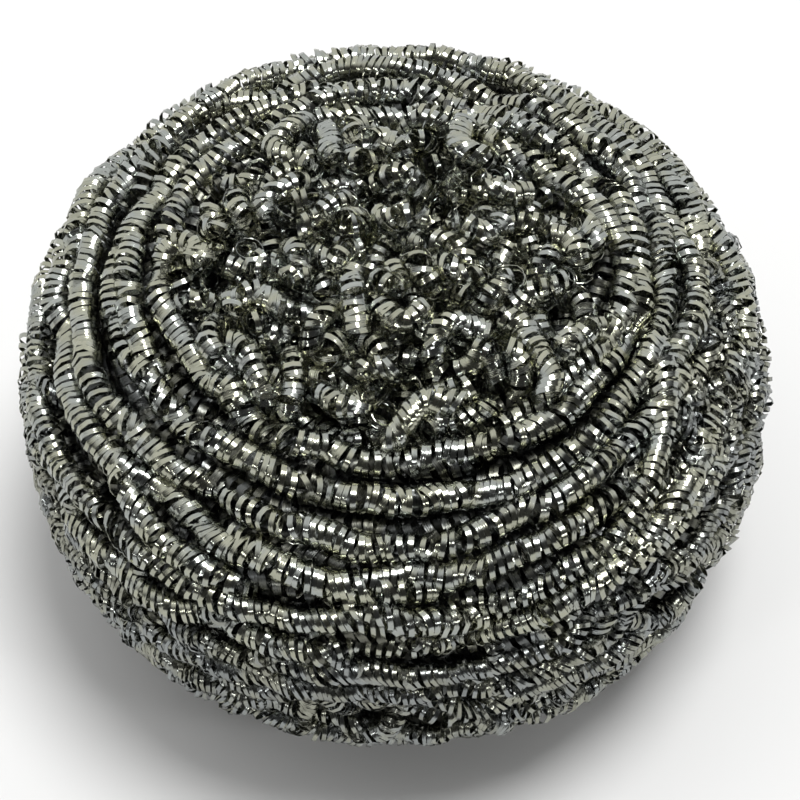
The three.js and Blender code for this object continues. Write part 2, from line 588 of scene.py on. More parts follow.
    def curl(
        self, name: str, paths: list[np.ndarray], lay: Curl, seed: int, finish: bpy.types.Material
    ) -> bpy.types.Object:
        """Curls a ribbon round some lines and makes it a plain mesh.

        Args:
            name: of the piece.
            paths: centre lines, as points in rows.
            lay: how the ribbon curls.
            seed: for the changes of the curl along the lines.
            finish: material of the ribbon.

        Returns:
            The piece.
        """
        wire = self._wire(name + "_lines", paths, lay, seed)
        values = {
            "Step": lay.pitch / lay.segments,
            "Ribbon Width": lay.width,
            "Ribbon Thickness": lay.thickness,
            "Finish": finish,
        }
        modifier = wire.modifiers.new(self.NAME, "NODES")
        modifier.node_group = self.tree
        for label, value in values.items():
            modifier[self.ids[label]] = value
        shown = wire.evaluated_get(bpy.context.evaluated_depsgraph_get())
        mesh = bpy.data.meshes.new_from_object(shown)
        mesh.name = name
        wire.modifiers.remove(modifier)
        bpy.data.objects.remove(wire)
        self._bake_map(mesh, lay.segments)
        return add_object(name, mesh)

    @staticmethod
    def _wire(name: str, paths: list[np.ndarray], lay: Curl, seed: int) -> bpy.types.Object:
        """Makes some lines a wire mesh whose points carry the values of the curl.

        Args:
            name: of the wire.
            paths: the lines, as points in rows.
            lay: how the ribbon curls round them.
            seed: for the changes of the curl along them.

        Returns:
            The wire.
        """
        rng = np.random.default_rng(seed)
        points, edges, values = [], [], []
        first = 0
        for path in paths:
            values.append(lay.carried(path, rng))
            points.append(path + lay.lump * rng.uniform(-1.0, 1.0, path.shape))
            count = np.arange(first, first + len(path) - 1)
            edges.append(np.column_stack((count, count + 1)))
            first += len(path)
        mesh = bpy.data.meshes.new(name)
        place = np.concatenate(points)
        joined = np.concatenate(edges)
        mesh.vertices.add(len(place))
        mesh.vertices.foreach_set("co", place.astype(np.float32).ravel())
        mesh.edges.add(len(joined))
        mesh.edges.foreach_set("vertices", joined.astype(np.int32).ravel())
        for attr in values[0]:
            layer = mesh.attributes.new(attr.value, "FLOAT", "POINT")
            run = np.concatenate([each[attr] for each in values])
            layer.data.foreach_set("value", run.astype(np.float32))
        return add_object(name, mesh)

    def _bake_map(self, mesh: bpy.types.Mesh, segments: int) -> None:
        """Lays the ribbon's faces out in rows of a UV map, none over another.

        Args:
            mesh: the ribbon's mesh.
            segments: of one curl.
        """
        row_steps = segments * self.CURLS_PER_ROW
        corner_vert = np.empty(len(mesh.loops), np.int32)
        mesh.loops.foreach_get("vertex_index", corner_vert)
        ring = (corner_vert // RIBBON_SIDES).reshape(-1, RIBBON_SIDES)
        side = (corner_vert % RIBBON_SIDES).reshape(-1, RIBBON_SIDES)
        low_ring = ring.min(axis=1, keepdims=True)
        low_side = side.min(axis=1, keepdims=True)
        wraps = (side.max(axis=1, keepdims=True) - low_side) == RIBBON_SIDES - 1
        band = np.where(wraps, RIBBON_SIDES - 1, low_side)
        upper = (side != band).astype(float)
        row = low_ring // row_steps
        column = ring - row * row_steps
        rows = int(row.max()) + 1
        filled = 1.0 - self.MAP_MARGIN
        u = self.MAP_MARGIN / 2 + filled * column / row_steps
        v = (row + self.MAP_MARGIN / 2 + filled * (band + upper) / RIBBON_SIDES) / rows
        layer = mesh.uv_layers.new(name=BAKE_MAP)
        layer.data.foreach_set("uv", np.stack((u, v), axis=-1).astype(np.float32).ravel())


class SteelGroup(NodeKit):
    """The shader group that gives rolled steel ribbon its tone, cast, polish, drawing marks and dents."""

    NAME = "RolledSteel"
    RIBBON_SCALE = 2.0  # of the patterns that follow the ribbon
    MARKS_ACROSS = 2.2  # drawing marks on half the ribbon's width to one on a curl's length
    MARKS_DETAIL = 3.0
    MARKS_HEIGHT = 0.05  # of the drawing marks, as a share of the dents' height
    DENTS_ALONG = 6.5  # dents on a curl's length to one on half the ribbon's width
    DENTS_DETAIL = 1.0
    CURL_SHARE = 0.4  # weight of a curl's own tone beside that of the drawing marks
    TONE_RANGE = (0.3, 1.0)
    POLISH_RANGE = (0.3, 0.7)
    CAST_SCALE = 260.0
    CAST_DETAIL = 2.0
    CAST_RANGE = (0.42, 0.6)
    MIX_FIRST, MIX_SECOND, MIXED = 6, 7, 2  # the colour sockets of a mix node

    def __init__(self) -> None:
        """Builds the group once."""
        super().__init__(bpy.data.node_groups.new(self.NAME, "ShaderNodeTree"))
        face = self.tree.interface
        for name in ("Light", "Dark", "Cool"):
            face.new_socket(name, in_out="INPUT", socket_type="NodeSocketColor")
        for name in ("Smooth", "Rough"):
            face.new_socket(name, in_out="INPUT", socket_type="NodeSocketFloat")
        face.new_socket("Color", in_out="OUTPUT", socket_type="NodeSocketColor")
        face.new_socket("Roughness", in_out="OUTPUT", socket_type="NodeSocketFloat")
        face.new_socket("Height", in_out="OUTPUT", socket_type="NodeSocketFloat")
        self._build()

    def _carried(self, attr: Attr) -> Socket:
        """Reads one of the values that the ribbon's points carry."""
        return self.node("ShaderNodeAttribute", attribute_name=attr.value).outputs["Fac"]

    def _noise(self, where: Socket, scale: float, detail: float) -> Socket:
        """Gives a noise pattern."""
        feeds = {"Vector": where, "Scale": scale, "Detail": detail}
        return self.node("ShaderNodeTexNoise", feeds).outputs["Fac"]

    def _on_ribbon(self, across: Socket, along: Socket, detail: float) -> Socket:
        """Gives a noise pattern that follows the ribbon."""
        where = self.node("ShaderNodeCombineXYZ", {"X": across, "Y": along}).outputs[0]
        return self._noise(where, self.RIBBON_SCALE, detail)

    def _mix(self, share: Socket, first: Socket, second: Socket, blend: str = "MIX") -> Socket:
        """Mixes two colours."""
        feeds = {"Factor": share, self.MIX_FIRST: first, self.MIX_SECOND: second}
        return self.node("ShaderNodeMix", feeds, data_type="RGBA", blend_type=blend).outputs[self.MIXED]

    def _build(self) -> None:
        """Makes and links the nodes."""
        start = self.node("NodeGroupInput").outputs
        across = self._carried(Attr.ACROSS)
        curls = self.maths("DIVIDE", self._carried(Attr.PHASE), TAU)
        marked = self.maths("MULTIPLY", across, self.MARKS_ACROSS)
        marks = self._on_ribbon(marked, curls, self.MARKS_DETAIL)
        dented = self.maths("MULTIPLY", curls, self.DENTS_ALONG)
        dents = self._on_ribbon(across, dented, self.DENTS_DETAIL)
        height = self.maths("MULTIPLY_ADD", marks, self.MARKS_HEIGHT, dents)

        number = self.maths("FLOOR", curls)
        each = self.node("ShaderNodeTexWhiteNoise", {"W": number}, noise_dimensions="1D").outputs["Value"]
        tone = self.maths("MULTIPLY_ADD", each, self.CURL_SHARE, marks)
        grey = self._mix(self.ranged(tone, self.TONE_RANGE), start["Dark"], start["Light"])
        where = self.node("ShaderNodeTexCoord").outputs["Object"]
        cast = self.ranged(self._noise(where, self.CAST_SCALE, self.CAST_DETAIL), self.CAST_RANGE)
        steel = self._mix(cast, grey, start["Cool"], "MULTIPLY")
        polish = self.ranged(marks, self.POLISH_RANGE, (start["Smooth"], start["Rough"]))
        self.node("NodeGroupOutput", {"Color": steel, "Roughness": polish, "Height": height})


@dataclass(frozen=True)
class RibbonSteel:
    """Rolled steel ribbon with a warm grey cast that turns cooler in patches.

    Attributes:
        name: of the material.
        light: colour of the lightest curls.
        dark: colour of the darkest curls.
        cool: tint of the cooler patches.
        smooth: roughness where the ribbon is polished most.
        rough: roughness where it is polished least.
        marks: strength of the drawing marks and dents.
        depth: of the dents at full strength.
    """

    name: str
    light: Triple = (0.41, 0.415, 0.33)
    dark: Triple = (0.29, 0.293, 0.231)
    cool: Triple = (0.91, 0.95, 1.13)
    smooth: float = 0.1
    rough: float = 0.22
    marks: float = 0.16
    depth: float = 0.2 * MM

    def material(self, group: SteelGroup) -> bpy.types.Material:
        """Builds the material.

        Args:
            group: the shared steel effect.

        Returns:
            The finished material.
        """
        made = bpy.data.materials.new(self.name)
        made.use_nodes = True
        kit = NodeKit(made.node_tree)
        feeds = {
            "Light": (*self.light, 1.0),
            "Dark": (*self.dark, 1.0),
            "Cool": (*self.cool, 1.0),
            "Smooth": self.smooth,
            "Rough": self.rough,
        }
        steel = kit.node("ShaderNodeGroup", feeds, node_tree=group.tree).outputs
        feeds = {"Strength": self.marks, "Distance": self.depth, "Height": steel["Height"]}
        bump = kit.node("ShaderNodeBump", feeds)
        surface = {
            "Base Color": steel["Color"],
            "Metallic": 1.0,
            "Roughness": steel["Roughness"],
            "Normal": bump.outputs["Normal"],
        }
        kit.feed(made.node_tree.nodes["Principled BSDF"], surface)
        return made


class Finish(Enum):
    """The ribbon's finishes: the steel's own colour outside, a darker and rougher copy inside the pad whose
    darkness is painted shade, and a copy low on its sides that is rougher and darker with painted shade.
    """

    BRIGHT = RibbonSteel("ribbon_steel")
    # Painted shade: a darker, rougher copy of the steel for the turns deep in the pad and in the crown's
    # dip, standing in for the shade that falls there.
    INNER_PAINTED_SHADE = RibbonSteel(
        "inner_painted_shade_steel",
        light=(0.15, 0.151, 0.125),
        dark=(0.08, 0.0807, 0.0667),
        smooth=0.2,
        rough=0.4,
    )
    # Painted shade: the colour is darker low on the pad's sides, standing in for the shade there; the
    # higher roughness is the steel's own.
    SIDE = RibbonSteel(
        "side_dull_painted_shade_steel",
        light=(0.32, 0.325, 0.27),
        dark=(0.19, 0.192, 0.158),
        smooth=0.14,
        rough=0.28,
    )


class Workshop:
    """Curls the ribbon into pieces and puts them on the pad's body."""

    def __init__(self) -> None:
        """Builds the ribbon's tree and a material for each finish."""
        self.ribbon = RibbonTree()
        steel = SteelGroup()
        self.materials = {finish: finish.value.material(steel) for finish in Finish}

    def make(self, name: str, paths: list[np.ndarray], lay: Lay, finish: Finish, seed: int) -> None:
        """Makes a piece, puts it in place of the plain solid, and reports it.

        Args:
            name: of the piece.
            paths: centre lines of its strands, as points in rows.
            lay: how the ribbon curls round them.
            finish: of the ribbon.
            seed: for the changes of the curl along the lines.
        """
        piece = self.ribbon.curl(name, paths, lay.value, seed, self.materials[finish])
        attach(piece, BODY)
        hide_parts(NODE)
        triangles = sum(len(face.vertices) - 2 for face in piece.data.polygons)
        LOG.info("piece %s: %d triangles", piece.name, triangles)


class Stretch(Enum):
    """Stretches of the outer winding, each a piece, in order from the crown to the base."""

    # The dip's turns take the inner finish, painted shade, so that the gaps in the crown's tangle show
    # dark.
    DISH = ("crown_dish_turns", Lay.COARSE, Finish.INNER_PAINTED_SHADE)
    SHOULDER = ("shoulder_turns", Lay.NEAT, Finish.BRIGHT)
    UPPER = ("upper_side_turns", Lay.LOOSE, Finish.BRIGHT)
    # The lower stretches take the side finish: rougher, and darker with painted shade.
    LOWER = ("lower_side_turns", Lay.JUMBLED, Finish.SIDE)
    FOOT = ("foot_turns", Lay.JUMBLED, Finish.SIDE)
    BASE = ("base_turns", Lay.COARSE, Finish.SIDE)

    def __init__(self, piece: str, lay: Lay, finish: Finish) -> None:
        """Keeps what the stretch is made with.

        Args:
            piece: name of its piece.
            lay: how the ribbon curls.
            finish: of the ribbon.
        """
        self.piece = piece
        self.lay = lay
        self.finish = finish


@dataclass(frozen=True)
class Groove:
    """A dent in the pad's side: the turns above it are pushed towards the crown.

    Attributes:
        bearing: degrees round the axis.
        reach: distance from the axis, along the outline.
        push: most that a turn is moved.
        spread: angle to either side in which the push dies away, in radians.
        lip: distance across the turns in which the push sets in.
        fade: distance across the turns in which it dies away.
    """

    bearing: float = -130.0
    reach: float = 41 * MM
    push: float = 4.2 * MM
    spread: float = 0.5
    lip: float = 1.2 * MM
    fade: float = 18 * MM

    def shift(self, angle: np.ndarray, beside: np.ndarray) -> np.ndarray:
        """Works out how far turns are pushed.

        Args:
            angle: of their points round the axis.
            beside: distances of their points from the groove, towards the base.

        Returns:
            Shifts towards the crown.
        """
        turned = angle - math.radians(self.bearing)
        aside = np.arctan2(np.sin(turned), np.cos(turned))
        above = 0.5 - 0.5 * np.tanh(beside / self.lip)
        return self.push * above * np.exp(-((aside / self.spread) ** 2) - np.abs(beside) / self.fade)


@dataclass
class WoundTurns:
    """The strand's turns over the pad's outline, and the turns that show in the gaps between them.

    Attributes:
        form: the pad that they make.
        groove: the dent in the pad's side.
        spacing: between neighbouring turns.
        step: between the points that are worked out along a turn.
        end_fade: distance along the outline, from its ends, in which the turns start to wander.
        stray: how far a turn wanders sideways high on the pad.
        tumble: the same low on the pad, where the turns are jumbled.
        wander: shares of the slow and the quick wandering, and the length of turn that each takes.
        jumble_top: height under which the turns become jumbled.
        jumble_rise: how much higher that is on one side.
        jumble_side: angle of that side round the axis.
        jumble_fade: height in which the jumble sets in.
        rim_jumble: share of the jumble at the crown's rim.
        rim_fade: distance across the turns in which that dies away.
        sink: how deep a stretch of a turn can sink between its neighbours.
        sink_run: length of turn in which it sinks.
        sink_power: exponent of the sinking. A higher one keeps a turn nearer the surface.
        ripple: how far a turn bobs up and down.
        ripple_run: length of turn in which it bobs.
        swing: how far all turns swing to and fro together.
        swing_lag: by how much the swing turns from the crown to the base, in radians.
        quick_swing: share, swings to a turn, and phase of a quicker swing.
        squeeze: how much nearer the axis the innermost turns lie at the front and the back.
        squeeze_run: distance from the rim in which that dies away.
        tilt: how much nearer the crown the turns lie on one side than halfway round.
        tilt_side: angle of that side round the axis.
        tilt_run: distance from the rim to where the tilt ends.
        clearance: least height of a turn's centre, in strand radii.
        least_radius: least distance of a turn's centre from the axis.
        cuts: heights at which the winding is cut into pieces.
        under_inset: how far under the outer turns the next ones lie, half a spacing aside.
        under_follow: share of the outer turns' wandering that they follow.
        deep_inset: how far under the outer turns the deepest ones lie.
        crown_reach: distance from the axis within which turns touch the tangle on the crown.
        crown_level: height over which they do.
        seed: for the wandering.
        stretch_seed: for the curls of the first stretch. The others follow it.
        under_seed: for the curls of the turns under the outer ones.
        deep_seed: for the curls of the deepest turns.
    """

    form: PadForm
    groove: Groove = Groove()
    spacing: float = 4.0 * MM
    step: float = 1.2 * MM
    end_fade: float = 10 * MM
    stray: float = 1.1 * MM
    tumble: float = 3.2 * MM
    wander: tuple[Pair, ...] = ((0.55, 11 * MM), (0.45, 4.5 * MM))
    jumble_top: float = 32 * MM
    jumble_rise: float = 9 * MM
    jumble_side: float = -0.25
    jumble_fade: float = 10 * MM
    rim_jumble: float = 0.7
    rim_fade: float = 4 * MM
    sink: float = 2.4 * MM
    sink_run: float = 9 * MM
    sink_power: float = 1.3
    ripple: float = 0.3 * MM
    ripple_run: float = 4 * MM
    swing: float = 0.7 * MM
    swing_lag: float = 9.0
    quick_swing: Triple = (0.6, 3.0, 1.3)
    squeeze: float = 3.6 * MM
    squeeze_run: float = 15 * MM
    tilt: float = 3.8 * MM
    tilt_side: float = -0.45
    tilt_run: float = 42 * MM
    clearance: float = 1.28
    least_radius: float = 1 * MM
    cuts: tuple[float, ...] = (40 * MM, 33 * MM, 18 * MM, 6 * MM)
    under_inset: float = 1.8 * MM
    under_follow: float = 0.5
    deep_inset: float = 5.2 * MM
    crown_reach: float = 30 * MM
    crown_level: float = 36 * MM
    seed: int = 11
    stretch_seed: int = 20
    under_seed: int = 32
    deep_seed: int = 52

    def __post_init__(self) -> None:
        """Walks once along the whole winding and works out how it wanders."""
        rng = np.random.default_rng(self.seed)
        self.line = self.form.outline()
        self.length = self.line.along[-1]
        self.rim = self.line.place_of(self.form.crown_radius)
        self.angle, self.place = self._walk(rng.uniform(0.0, TAU))
        self.level = np.interp(self.place, self.line.along, self.line.height)
        from_end = np.minimum(self.place, self.length - self.place)
        self.fade = np.clip(from_end / self.end_fade, 0.0, 1.0)
        walked = self.step * np.arange(len(self.angle))
        wander = sum(share * smooth_noise(walked, run, rng) for share, run in self.wander)
        self.shift = self._drift() + self._looseness() * wander
        dip = np.maximum(0.0, smooth_noise(walked, self.sink_run, rng)) ** self.sink_power
        ripple = self.ripple * smooth_noise(walked, self.ripple_run, rng)
        self.depth = self.fade * (self.sink * dip + ripple)

    def _walk(self, angle: float) -> tuple[np.ndarray, np.ndarray]:
        """Walks round the axis and down the outline in even steps.

        Args:
            angle: at which the winding starts.

        Returns:
            Angles round the axis, and distances along the outline.
        """
        along, radius = self.line.along, self.line.radius
        angles, places = [], []
        place = 0.0
        while place < self.length:
            angles.append(angle)
            places.append(place)
            stride = self.step / np.interp(place, along, radius)
            angle += stride
            place += self.spacing * stride / TAU
        return np.array(angles), np.array(places)

    def _looseness(self) -> np.ndarray:
        """Works out how far the turns wander, each by itself.

        Returns:
            The most that each point wanders, which is more in the jumble and round the crown's rim.
        """
        aside = np.maximum(0.0, np.cos(self.angle - self.jumble_side)) ** 2
        top = self.jumble_top + self.jumble_rise * aside
        jumble = np.clip((top - self.level) / self.jumble_fade, 0.0, 1.0)
        near_rim = np.exp(-(((self.place - self.rim) / self.rim_fade) ** 2))
        return self.stray + (self.tumble - self.stray) * np.maximum(jumble, self.rim_jumble * near_rim)

    def _drift(self) -> np.ndarray:
        """Works out the shift that neighbouring turns share.

        Returns:
            The shift of each point, towards the base.
        """
        slow = np.sin(self.angle + self.swing_lag * self.place / self.length)
        share, times, phase = self.quick_swing
        swing = self.swing * (slow + share * np.sin(times * self.angle + phase))
        past_rim = self.place - self.rim
        near_rim = np.where(past_rim < 0.0, self.place / self.rim, 1.0 - past_rim / self.squeeze_run)
        squeeze = self.squeeze * np.clip(near_rim, 0.0, 1.0) * np.sin(self.angle) ** 2
        middle = np.sin(math.pi * np.clip(past_rim / self.tilt_run, 0.0, 1.0))
        tilt = self.tilt * middle * np.cos(self.angle - self.tilt_side)
        beside = self.place - (self.rim + self.groove.reach - self.form.crown_radius)
        return swing - squeeze - tilt - self.groove.shift(self.angle, beside)

    def path(self, inset: float = 0.0, beside: float = 0.0, follow: float = 1.0) -> np.ndarray:
        """Gives the centre line of the winding, or of one that runs under and beside it.

        Args:
            inset: how far under the outer turns it lies.
            beside: how far along the outline it is moved.
            follow: share of the outer turns' wandering that it follows.

        Returns:
            Points from the crown to the base.
        """
        place = np.clip(self.place + beside + follow * self.fade * self.shift, 0.0, self.length)
        radius, height, out, up = self.line.at(place)
        depth = inset + self.depth
        radius = np.maximum(radius - depth * out, self.least_radius)
        height = np.maximum(height - depth * up, self.clearance * self.form.strand_radius)
        return np.column_stack((radius * np.cos(self.angle), radius * np.sin(self.angle), height))

    def stretches(self) -> dict[Stretch, np.ndarray]:
        """Cuts the outer winding into the stretches that become pieces.

        Returns:
            The centre line of each stretch.
        """
        points = self.path()
        past_rim = self.place > self.rim
        marks = [int(np.argmax(past_rim))]
        marks += [int(np.argmax(past_rim & (self.level < cut))) for cut in self.cuts]
        ends = [0, *marks, len(points) - 1]
        return {stretch: points[ends[k] : ends[k + 1] + 1] for k, stretch in enumerate(Stretch)}

    def round_crown(self) -> np.ndarray:
        """Picks the points of the outer winding that lie in and round the crown's dip.

        Returns:
            The points, in rows.
        """
        points = self.path()
        near = np.hypot(points[:, 0], points[:, 1]) < self.crown_reach
        return points[near & (points[:, 2] > self.crown_level)]

    def build(self, shop: Workshop) -> None:
        """Makes the outer winding, stretch by stretch, and the two windings under it.

        Args:
            shop: what makes the pieces.
        """
        for number, (stretch, points) in enumerate(self.stretches().items()):
            shop.make(stretch.piece, [points], stretch.lay, stretch.finish, self.stretch_seed + number)
        # The turns under the outer ones and the deepest ones take the inner finish, whose darkness is
        # painted shade.
        under = self.path(self.under_inset, self.spacing / 2, self.under_follow)
        shop.make("under_turns", [under], Lay.SPARSE, Finish.INNER_PAINTED_SHADE, self.under_seed)
        # The deepest turns are a dark core of painted shade behind the gaps.
        deep = self.path(self.deep_inset, follow=0.0)
        shop.make("deep_turns", [deep], Lay.DEEP, Finish.INNER_PAINTED_SHADE, self.deep_seed)


@dataclass
class StrayStrands:
    """Loose lengths of strand that lie across the turns.

    Attributes:
        form: the pad that they lie on.
        routes: knots of the lengths that the photograph shows, as degrees round the axis and distances
            along the outline from the axis, in millimetres.
        count: of further lengths, laid at random.
        points_each: points that are worked out along a length.
        start: nearest and farthest distance from the axis at which a further length starts.
        sweep: least and most that it runs round the axis, in radians.
        fall: most that it climbs or falls.
        early_fall: share of that in the first half of its way.
        lift: how far its middle stands over the turns.
        dive: how deep its ends go under them.
        seed: for the further lengths.
        curl_seed: for the curls.
    """

    form: PadForm
    routes: tuple[tuple[Pair, ...], ...] = (
        ((-8, 29), (-17, 32), (-29, 35), (-39, 38), (-49, 41.5), (-58, 45)),
    )
    count: int = 12
    points_each: int = 30
    start: Pair = (28 * MM, 48 * MM)
    sweep: Pair = (0.5, 1.0)
    fall: float = 9 * MM
    early_fall: float = 0.7
    lift: float = 0.8 * MM
    dive: float = 3 * MM
    seed: int = 71
    curl_seed: int = 61

    def lay(self) -> list[np.ndarray]:
        """Lays all lengths.

        Returns:
            The centre line of each.
        """
        rng = np.random.default_rng(self.seed)
        routes = [np.array(route) * (math.pi / 180.0, MM) for route in self.routes]
        routes += [self._route(number, rng) for number in range(self.count)]
        return [self._laid(route) for route in routes]

    def _route(self, number: int, rng: np.random.Generator) -> np.ndarray:
        """Picks the knots of a further length.

        Args:
            number: of the length, which gives its place round the axis.
            rng: source of its place and way.

        Returns:
            Angles round the axis and distances along the outline, in rows.
        """
        angle = TAU * (number + rng.uniform()) / self.count
        place = rng.uniform(*self.start)
        turn = rng.uniform(*self.sweep)
        fall = rng.uniform(-self.fall, self.fall)
        halfway = (angle + turn / 2, place + fall * self.early_fall)
        return np.array(((angle, place), halfway, (angle + turn, place + fall)))

    def _laid(self, route: np.ndarray) -> np.ndarray:
        """Lays a length over the turns, with its ends between them.

        Args:
            route: its knots.

        Returns:
            Its centre line.
        """
        share = np.linspace(0.0, 1.0, self.points_each)
        knots = np.linspace(0.0, 1.0, len(route))
        angle = np.interp(share, knots, route[:, 0])
        reach = np.interp(share, knots, route[:, 1])
        lift = (self.lift + self.dive) * np.sin(math.pi * share) ** 0.5 - self.dive
        return self.form.laid(angle, reach, lift)

    def build(self, shop: Workshop) -> None:
        """Makes the loose lengths, as one piece."""
        shop.make("stray_strands", self.lay(), Lay.NEAT, Finish.BRIGHT, self.curl_seed)


@dataclass
class SideTangle:
    """Short lengths of strand that lie every way over the lower turns.

    Attributes:
        form: the pad that they lie on.
        count: of lengths.
        points_each: points that are worked out along a length.
        span: shortest and longest length.
        band: nearest and farthest distance from the axis, along the outline.
        turn: most that a length is turned from the way the turns run, in radians.
        bow: how far it bends to one side.
        lift: how far its middle stands over the turns, at least and at most.
        dive: how much lower its ends lie.
        patch: of a place higher up that is jumbled too, the degrees round the axis and the distance from
            the axis along the outline, at its middle and from there to its edges.
        patch_count: of lengths there.
        seed: for the lengths' places and ways.
        curl_seed: for the curls.
    """

    form: PadForm
    count: int = 112
    points_each: int = 12
    span: Pair = (8 * MM, 15 * MM)
    band: Pair = (45 * MM, 76 * MM)
    turn: float = 1.3
    bow: float = 2 * MM
    lift: Pair = (-0.6 * MM, 0.5 * MM)
    dive: float = 2.6 * MM
    patch: tuple[Pair, Pair] = ((-14, 42 * MM), (27, 6 * MM))
    patch_count: int = 40
    seed: int = 83
    curl_seed: int = 63

    def lay(self) -> list[np.ndarray]:
        """Lays all lengths.

        Returns:
            The centre line of each.
        """
        rng = np.random.default_rng(self.seed)
        down_band = np.linspace(*self.band, self.count)
        places = [(GOLDEN_ANGLE * number, reach) for number, reach in enumerate(down_band)]
        for _ in range(self.patch_count):
            turned, reach = np.array(self.patch[0]) + rng.uniform(-1.0, 1.0, 2) * self.patch[1]
            places.append((math.radians(turned), reach))
        return [self._length(turned, reach, rng) for turned, reach in places]

    def _length(self, turned: float, reach: float, rng: np.random.Generator) -> np.ndarray:
        """Lays one length.

        Args:
            turned: angle of its middle round the axis.
            reach: distance of its middle from the axis, along the outline.
            rng: source of its way and bend.

        Returns:
            Its centre line.
        """
        share = np.linspace(-1.0, 1.0, self.points_each)
        bend = 1.0 - share * share
        heading = rng.uniform(-self.turn, self.turn)
        half = 0.5 * rng.uniform(*self.span)
        bow = rng.uniform(-self.bow, self.bow)
        across = half * share * math.cos(heading) - bow * bend * math.sin(heading)
        down = half * share * math.sin(heading) + bow * bend * math.cos(heading)
        angle = turned + across / (self.form.width / 2)
        lift = rng.uniform(*self.lift) - self.dive * (1.0 - bend)
        return self.form.laid(angle, reach + down, lift)

    def build(self, shop: Workshop) -> None:
        """Makes the short lengths, as one piece."""
        # The side finish is rougher, and darker with painted shade.
        shop.make("side_tangle", self.lay(), Lay.JUMBLED, Finish.SIDE, self.curl_seed)


